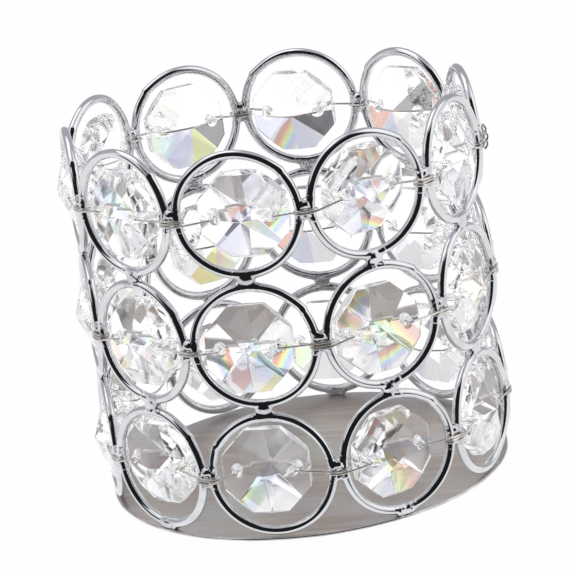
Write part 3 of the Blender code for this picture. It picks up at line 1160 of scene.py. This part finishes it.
@dataclass
class GlassOctagon:
    """The glass bead, ground facet by facet from a blank and drilled twice."""

    crystal: Material
    arris: float = 0.00005
    bore_sides: int = 28
    countersink: float = 0.00032
    countersink_depth: float = 0.00045
    corner_merge: float = 1e-6
    back_normal: float = 0.9
    tip_reach: float = 1e-3
    usual_bands: float = 60.0
    usual_strength: float = 0.3

    def build(self) -> None:
        """Place a bead on each of its bodies and in the place of its node."""
        blank = self.ground_blank()
        for tier in Tier:
            for column in range(SIZES.columns):
                self.place_bead(blank, column, tier)
        bpy.data.meshes.remove(blank)

    def ground_blank(self) -> Mesh:
        """Grind the facets, ease the edges and drill the bores.

        Returns:
            The mesh, in the bead's own frame, with its points kept in the attribute "spot".
        """
        bm = bmesh.new()
        bmesh.ops.create_cone(
            bm,
            cap_ends=True,
            segments=SIZES.bead_sides,
            radius1=SIZES.bead_corner,
            radius2=SIZES.bead_corner,
            depth=SIZES.bead_thickness,
            matrix=Matrix.Rotation(math.pi / 2, 4, "X") @ Matrix.Rotation(SIZES.side_angle / 2, 4, "Z"),
        )
        slope = SIZES.face_slope / math.cos(SIZES.side_angle / 2)
        for side in (-1, 1):
            for index in range(SIZES.bead_sides):
                angle = (index + 0.5) * SIZES.side_angle
                normal = Vector((slope * math.cos(angle), side, slope * math.sin(angle)))
                self.grind(bm, Vector((0, side * SIZES.bead_thickness / 2, 0)), normal)
        bmesh.ops.remove_doubles(bm, verts=bm.verts[:], dist=self.corner_merge)
        bmesh.ops.recalc_face_normals(bm, faces=bm.faces[:])
        edges = bm.edges[:]
        bmesh.ops.bevel(
            bm, geom=edges, offset=self.arris, segments=1, profile=0.5, affect="EDGES", clamp_overlap=True
        )
        blank = add_object("blank", mesh_from(bm, "blank"))
        drills = [self.drill(side) for side in (-1, 1)]
        for drill in drills:
            cut = blank.modifiers.new(drill.name, "BOOLEAN")
            cut.operation = "DIFFERENCE"
            cut.solver = "EXACT"
            cut.object = drill
        mesh = applied(blank, "ground_blank")
        for drill in drills:
            bpy.data.objects.remove(drill, do_unlink=True)
        spot = mesh.attributes.new("spot", "FLOAT_VECTOR", "POINT")
        spot.data.foreach_set("vector", [number for vert in mesh.vertices for number in vert.co])
        for face in mesh.polygons:
            corners = [mesh.vertices[index].co for index in face.vertices]
            farthest = max(self.bore_distance(corner) for corner in corners)
            face.use_smooth = farthest < SIZES.bore_diameter
        return mesh

    @staticmethod
    def bore_distance(point: Vector) -> float:
        """How far a point lies from the nearer bore's axis."""
        return math.hypot(abs(point.x) - SIZES.bore_spacing / 2, point.z)

    @staticmethod
    def grind(bm: BMesh, point: Vector, normal: Vector) -> None:
        """Grind one facet.

        Args:
            bm: The blank.
            point: A point of the facet.
            normal: Its direction, out of the glass.
        """
        whole = bm.verts[:] + bm.edges[:] + bm.faces[:]
        cut = bmesh.ops.bisect_plane(
            bm, geom=whole, dist=SAME_POINT, plane_co=point, plane_no=normal, clear_outer=True
        )
        rim = [item for item in cut["geom_cut"] if isinstance(item, bmesh.types.BMEdge)]
        if len(rim) > 2:
            bmesh.ops.contextual_create(bm, geom=rim)

    def drill(self, side: int) -> Object:
        """Make a drill for one bore and its countersinks.

        Args:
            side: -1 for the left bore and 1 for the right one.

        Returns:
            The drill's object.
        """
        radius = SIZES.bore_diameter / 2
        half_length = SIZES.bead_thickness
        start = SIZES.face_height(SIZES.bore_spacing / 2) - self.countersink_depth
        wide = radius + (half_length - start) * (self.countersink / self.countersink_depth)
        right = [(radius, start, 0.0), (wide, half_length, 0.0), (0.0, half_length, 0.0)]
        left = [(x, -y, z) for x, y, z in reversed(right)]
        bm = bmesh.new()
        lathe(bm, (0, 1, 0), self.bore_sides, left + right)
        bmesh.ops.translate(bm, vec=(side * SIZES.bore_spacing / 2, 0, 0), verts=bm.verts[:])
        drill = add_object(f"drill_{side}", mesh_from(bm, "drill"))
        drill.hide_render = True
        return drill

    @staticmethod
    def rest(column: int, tier: Tier) -> Matrix:
        """Read from a CAD bead how it hangs.

        Args:
            column: The bead's column.
            tier: The bead's tier.

        Returns:
            The bead's own frame, with X along its bores' line and Y inwards.
        """
        node = tier.bead_node(column)
        hinge = next(item for item in frame["joints"] if item["child"] == node)
        middle = Vector(hinge["pos_m"])
        across = Vector(hinge["axis"]).normalized()
        inwards = SIZES.station(column, tier).to_3x3() @ Vector((0, 1, 0))
        near = 1e-5
        reach = SIZES.bead_thickness / 2 + near
        offsets = [vert.co - middle for vert in frame["nodes"][node].data.vertices]
        peaks = [offset for offset in offsets if offset.length < reach and abs(offset.dot(across)) < near]
        back = max(peaks, key=lambda offset: offset.dot(inwards)).normalized()
        return axes_frame(across, back, across.cross(back), middle)

    def place_bead(self, blank: Mesh, column: int, tier: Tier) -> None:
        """Place one bead and give its back facets their own bands of colour.

        Args:
            blank: The ground and drilled mesh.
            column: Its column.
            tier: Its tier.
        """
        node = tier.bead_node(column)
        dice = random.Random(node)
        fires = FIRES[tier].get(column)
        if fires is None:
            facet, hue = dice.randrange(SIZES.bead_sides), dice.choice(tuple(Hue))
            heading = dice.uniform(0, math.tau)
            fires = (Fire(facet, hue, self.usual_bands, heading, self.usual_strength),)
        # Painted fire and painted dark reflections, facet by facet, for the crystal's colour
        facets = {fire.facet: fire.values() for fire in fires}
        plain = (0.0, 0.0, 0.0, 0.0)
        mesh = blank.copy()
        mesh.name = f"crystal_{node}"
        values = []
        for face in mesh.polygons:
            angle = math.atan2(face.center.z, face.center.x) % math.tau
            facet = int(angle / SIZES.side_angle) % SIZES.bead_sides
            ground = face.normal.y > self.back_normal and face.center.length > self.tip_reach
            values += facets.get(facet, plain) if ground else plain
        mesh.attributes.new("fire", "FLOAT_COLOR", "FACE").data.foreach_set("color", values)
        mesh.transform(self.rest(column, tier))
        piece = add_object(mesh.name, mesh, [self.crystal])
        dress(piece, node, [node])


@dataclass
class BindingWire:
    """The thin wire round one tier: through its beads, round its joints and twisted at its ends."""

    tier: Tier
    twist_joint: int
    material: Material
    lift: float = 0.00005
    bend: float = 0.00030
    lead_bends: float = 2.6
    hug: float = 0.9
    mouth_bends: tuple[float, float] = (0.2, 0.5)
    bore_bends: float = 2.5
    smooth_pieces: int = 3
    wrap_pitch: float = 0.00046
    wrap_middle: float = -0.0004
    wrap_drift: float = 0.00015
    wrap_play: float = 0.00004
    wrap_slack: float = 0.02
    wrap_wobble: float = 0.00003
    wrap_steps: int = 6
    twist_turns: float = 1.5
    twist_steps: int = 24
    twist_length: float = 0.0040
    twist_top: float = 0.0025
    twist_gap: float = 0.00012
    twist_bow: float = 0.00035

    def build(self) -> None:
        """Run the wire along its route and put it in the place of its node."""
        route = self.smooth(self.route())
        curve = bpy.data.curves.new("wire_route", "CURVE")
        curve.dimensions = "3D"
        curve.bevel_depth = SIZES.binding_wire / 2
        curve.bevel_resolution = 2
        curve.use_fill_caps = True
        spline = curve.splines.new("POLY")
        spline.points.add(len(route) - 1)
        for place, point in zip(spline.points, route):
            place.co = (*point, 1.0)
        label = self.tier.name.lower()
        mesh = applied(add_object("wire_route", curve), f"tier_wire_{label}")
        mesh.shade_smooth()
        piece = add_object(mesh.name, mesh, [self.material])
        dress(piece, DRUM, [f"binding_wire_{label}"])

    def smooth(self, points: Sequence[Vector]) -> list[Vector]:
        """Round a route off with a curve through its points.

        Args:
            points: The route.

        Returns:
            The finer route.
        """
        ends = [2 * points[0] - points[1], *points, 2 * points[-1] - points[-2]]
        fine = []
        for before, start, end, after in zip(ends, ends[1:], ends[2:], ends[3:]):
            for piece in range(self.smooth_pieces):
                t = piece / self.smooth_pieces
                bend = (2 * before - 5 * start + 4 * end - after) * t * t
                swing = (3 * start - before - 3 * end + after) * t * t * t
                fine.append(0.5 * (2 * start + (end - before) * t + bend + swing))
        return fine + [points[-1]]

    def bore_mouth(self, side: int) -> list[Vector]:
        """The route in at one mouth of the left bore, in the bead's own frame.

        Args:
            side: -1 for the mouth in the bead's front and 1 for the one in its back.

        Returns:
            The route's points, from outside the glass to inside the bore.
        """
        half = SIZES.bore_spacing / 2
        mouth = SIZES.face_height(half)
        off = SIZES.binding_wire / 2 + self.lift
        far, near = half - side * self.lead_bends * self.bend, half - side * self.bend
        aside, deep = self.mouth_bends
        points = (
            (-far, SIZES.face_height(far) + off),
            (-near, SIZES.face_height(near) + off * self.hug),
            (-half + side * aside * self.bend, mouth - deep * self.bend),
            (-half, mouth - self.bore_bends * self.bend),
        )
        return [Vector((x, side * y, 0.0)) for x, y in points]

    def through_bead(self) -> list[Vector]:
        """The route through one bead from left to right, in the bead's own frame.

        Returns:
            The route's points.
        """
        left = self.bore_mouth(-1) + self.bore_mouth(1)[::-1]
        back = SIZES.face_height(0.0) + SIZES.binding_wire / 2 + self.lift
        right = [Vector((-point.x, point.y, 0.0)) for point in reversed(left)]
        return left + [Vector((0.0, back, 0.0))] + right

    def wrap(self, turns: int, seed: int, leads_away: bool) -> list[Vector]:
        """The route round one joint from its outer left, in the joint's own frame.

        Args:
            turns: How many times the wire goes round.
            seed: A number that makes the wrap differ from the others.
            leads_away: True if the wire goes on to the next bead, and False before its twisted end.

        Returns:
            The route's points.
        """
        dice = random.Random(seed)
        depth = SIZES.joint_depth
        reach = SIZES.ring_wire / 2 + SIZES.binding_wire / 2 + self.wrap_play
        loop = []
        for side in (1, -1):
            for step in range(self.wrap_steps + 1):
                angle = side * (step * math.pi / self.wrap_steps - math.pi / 2)
                x = side * (SIZES.across_joint / 2 + reach * math.cos(angle))
                loop.append((x, depth + reach * math.sin(angle)))
        flat = loop[-1:] + loop * turns + loop[:1]
        last = len(flat) - 1
        fall = self.wrap_pitch * turns * (1 if leads_away else -1)
        middle = self.wrap_middle + dice.uniform(-self.wrap_drift, self.wrap_drift)
        route = []
        for index, (x, y) in enumerate(flat):
            loose = 1 + self.wrap_slack * dice.random()
            z = middle + fall * (0.5 - index / last) + dice.uniform(-self.wrap_wobble, self.wrap_wobble)
            route.append(Vector((x * loose, depth + (y - depth) * loose, z)))
        return route

    def twisted_end(self, phase: float) -> list[Vector]:
        """One end of the twisted pair, from its root at the joint to its tip.

        Args:
            phase: Where round the pair it starts.

        Returns:
            The route's points, in the joint's own frame.
        """
        radius = SIZES.binding_wire / 2 + self.twist_gap
        front = SIZES.ring_wire / 2 + SIZES.binding_wire - SIZES.joint_depth
        route = []
        for step in range(self.twist_steps + 1):
            share = step / self.twist_steps
            angle = phase + share * self.twist_turns * math.tau
            out = front + self.twist_gap + self.twist_bow * math.sin(share * math.pi)
            drop = self.twist_top - self.twist_length * share
            route.append(Vector((radius * math.cos(angle), -(out + radius * math.sin(angle)), drop)))
        return route

    def route(self) -> list[Vector]:
        """The whole route, from one twisted end round the drum to the other.

        Returns:
            The route's points.
        """
        at_start = SIZES.joint(self.twist_joint, self.tier)
        points = [at_start @ point for point in reversed(self.twisted_end(0.0))]
        for step in range(1, SIZES.columns + 1):
            column = (self.twist_joint + step) % SIZES.columns
            rest = GlassOctagon.rest(column, self.tier)
            points += [rest @ point for point in self.through_bead()]
            if step < SIZES.columns:
                turns = 1 + (column + self.tier.value) % 2
                wrap = self.wrap(turns, seed=31 * column + self.tier.value, leads_away=True)
                points += [SIZES.joint(column, self.tier) @ point for point in wrap]
        last = self.wrap(turns=2, seed=7, leads_away=False)
        points += [at_start @ point for point in last]
        return points + [at_start @ point for point in self.twisted_end(math.pi)]


def finishes() -> dict[str, Material]:
    """Build every finish.

    Returns:
        The materials by the finishes' names.
    """
    made = [
        MetalFinish("mirror_chrome", (0.80, 0.81, 0.83), (0.72, 0.73, 0.75), 0.035, 0.05, 5200, 1e-6, 1.5),
        MetalFinish("weld_chrome", (0.78, 0.79, 0.81), (0.62, 0.62, 0.64), 0.06, 0.10, 3600, 12e-6, 2.5),
        MetalFinish("soft_wire", (0.82, 0.79, 0.76), (0.62, 0.59, 0.56), 0.12, 0.12, 9000, 3e-6, 1.0),
        MetalFinish("sheared_edge", (0.80, 0.79, 0.80), (0.58, 0.56, 0.56), 0.09, 0.15, 3200, 20e-6, 2.0),
        PlateFinish(
            "rolled_steel",
            cool=(0.635, 0.63, 0.63),
            warm=(0.55, 0.47, 0.41),
            dark=(0.40, 0.39, 0.39),
            pale=(0.80, 0.79, 0.79),
            roughness=0.42,
            unevenness=0.05,
            line_depth=2e-6,
        ),
        CrystalFinish("clear_crystal", tint=WHITE, ior=1.54, roughness=0.045, clearness=0.975),
    ]
    return {finish.name: finish.build() for finish in made}


def main() -> None:
    """Build the studio and every piece of the candlestick."""
    logging.basicConfig(level=logging.INFO, format="%(name)s: %(message)s")
    camera = PhotoCamera()
    camera.build()
    Studio(azimuth=camera.azimuth).build()
    looks = finishes()
    BasePlate(looks["rolled_steel"], looks["sheared_edge"]).build()
    RingDrum(looks["mirror_chrome"], looks["weld_chrome"]).build()
    GlassOctagon(looks["clear_crystal"]).build()
    for tier, twist_joint in ((Tier.BOTTOM, 6), (Tier.MIDDLE, 6), (Tier.TOP, 2)):
        BindingWire(tier, twist_joint, looks["soft_wire"]).build()


if __name__ == "__main__":
    main()
